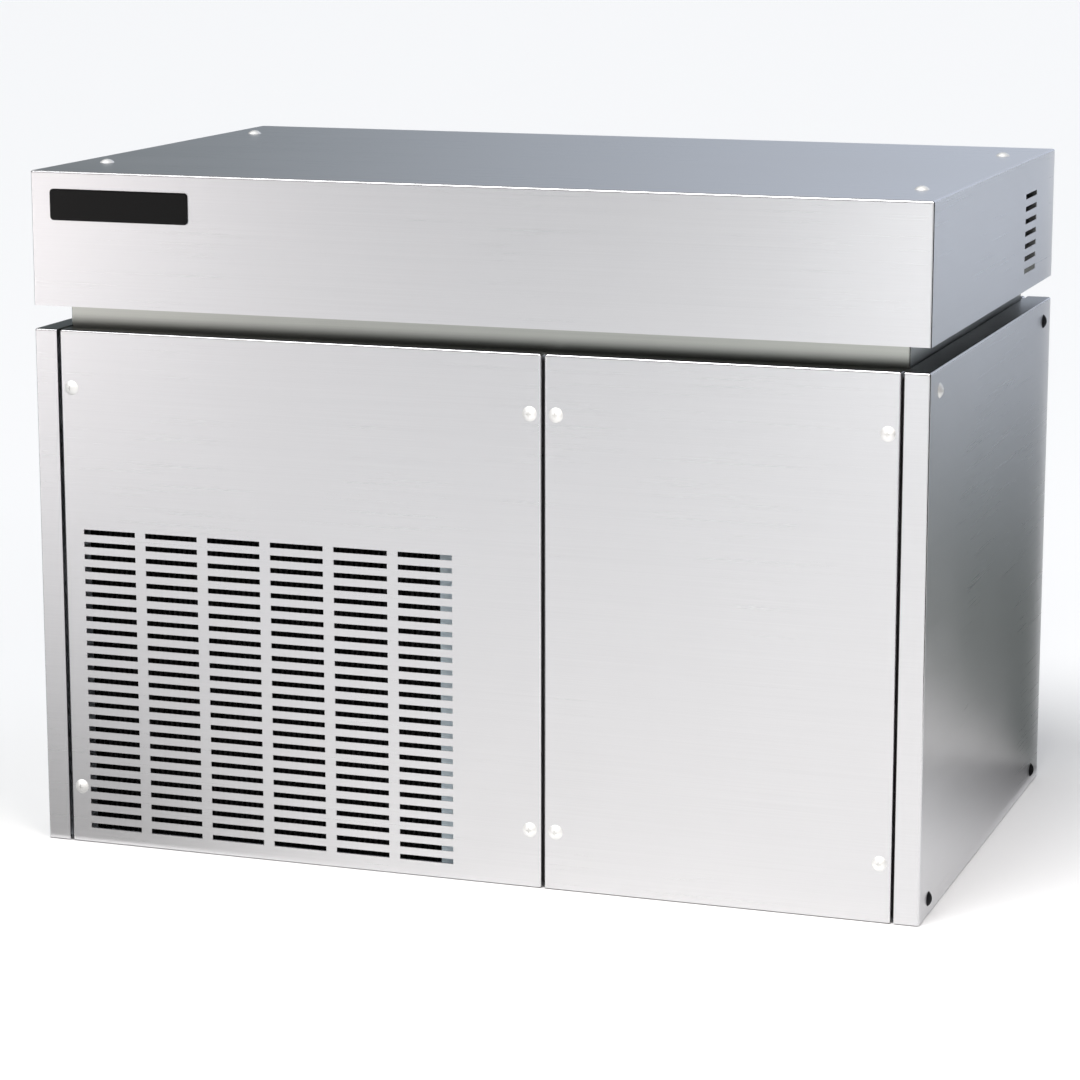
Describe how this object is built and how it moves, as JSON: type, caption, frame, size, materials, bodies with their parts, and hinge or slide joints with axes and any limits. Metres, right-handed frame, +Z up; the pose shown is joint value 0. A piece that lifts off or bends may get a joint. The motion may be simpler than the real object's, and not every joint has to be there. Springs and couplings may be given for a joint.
{
  "type": "flake ice machine",
  "caption": "Modular stainless flake ice machine: slotted front grille, lift-off cover on a recessed neck, scraped freezing drum, ice chute through the base.",
  "frame": {"origin": "middle of the cabinet footprint, on the underside of the base", "axes": "+Z up, front panels face -Y, +X along the width towards the plain front panel"},
  "size_m": [0.9452, 0.6136, 0.7086],
  "materials": {
    "stainless": "satin brushed stainless steel",
    "domed_screw": "polished stainless steel",
    "galvanised": "galvanised sheet",
    "black_badge": "black, left bare",
    "insulation_foam": "closed-cell foam",
    "white_plastic": "food-safe white plastic",
    "orange_plastic": "moulded plastic",
    "black_plastic": "moulded plastic",
    "blue_plastic": "moulded plastic",
    "grey_hose": "plastic hose",
    "cast_housing": "grey paint on castings",
    "black_paint": "black enamel",
    "rubber_foot": "black rubber",
    "aluminium_fin": "plain aluminium",
    "copper_pipe": "copper tube",
    "brass_fitting": "plain brass"
  },
  "bodies": {
    "casing": {"base_tray": "galvanised", "deck_plate": "galvanised", "front_left_post": "galvanised", "front_right_post": "galvanised", "rear_left_post": "galvanised", "rear_right_post": "galvanised", "centre_post": "galvanised", "left_side_panel": "stainless", "right_side_panel": "stainless", "louvre_panel": "stainless", "service_panel": "stainless", "rear_panel": "stainless", "neck_frame": "stainless", "top_cover": "stainless", "cover_insulation": "insulation_foam", "badge_plate": "black_badge", "panel_screws": "domed_screw", "cover_screws": "domed_screw", "water_tank": "white_plastic", "left_bearing": "cast_housing", "right_bearing": "cast_housing", "rotary_joint": "brass_fitting", "scraper_blade": "stainless", "scraper_holder": "cast_housing", "scraper_screws": "stainless", "gear_case": "cast_housing", "drive_motor": "cast_housing", "ice_chute": "white_plastic", "float_box": "white_plastic", "float_valve": "brass_fitting", "link_pipe": "white_plastic", "inlet_valve": "blue_plastic", "inlet_hose": "grey_hose", "drain_pipe": "grey_hose", "cable_gland": "black_plastic", "compressor": "black_paint", "terminal_cover": "black_plastic", "compressor_feet": "rubber_foot", "condenser_fins": "aluminium_fin", "condenser_frame": "galvanised", "return_bends": "copper_pipe", "fan_shroud": "galvanised", "fan_bracket": "galvanised", "fan_motor": "cast_housing", "receiver": "black_paint", "filter_drier": "copper_pipe", "expansion_valve": "brass_fitting", "discharge_pipe": "copper_pipe", "liquid_pipe": "copper_pipe", "feed_pipe": "copper_pipe", "suction_pipe": "copper_pipe", "control_box": "galvanised", "control_lid": "galvanised"},
    "drum": {"evaporator_drum": "stainless", "output_sleeve": "brass_fitting"},
    "fan": {"fan_shaft": "stainless", "fan_blades": "black_plastic"},
    "float": {"float_arm": "brass_fitting", "float_ball": "orange_plastic"}
  },
  "joints": [
    {"name": "drum_spin", "type": "hinge", "parent": "casing", "child": "drum", "pos_m": [0.159, 0.06, 0.578], "axis": [1, 0, 0], "continuous": true},
    {"name": "fan_spin", "type": "hinge", "parent": "casing", "child": "fan", "pos_m": [-0.2328, -0.173, 0.1765], "axis": [0, 1, 0], "continuous": true},
    {"name": "float_swing", "type": "hinge", "parent": "casing", "child": "float", "pos_m": [-0.263, 0.155, 0.596], "axis": [0, -1, 0], "range_deg": [0, 14]}
  ]
}
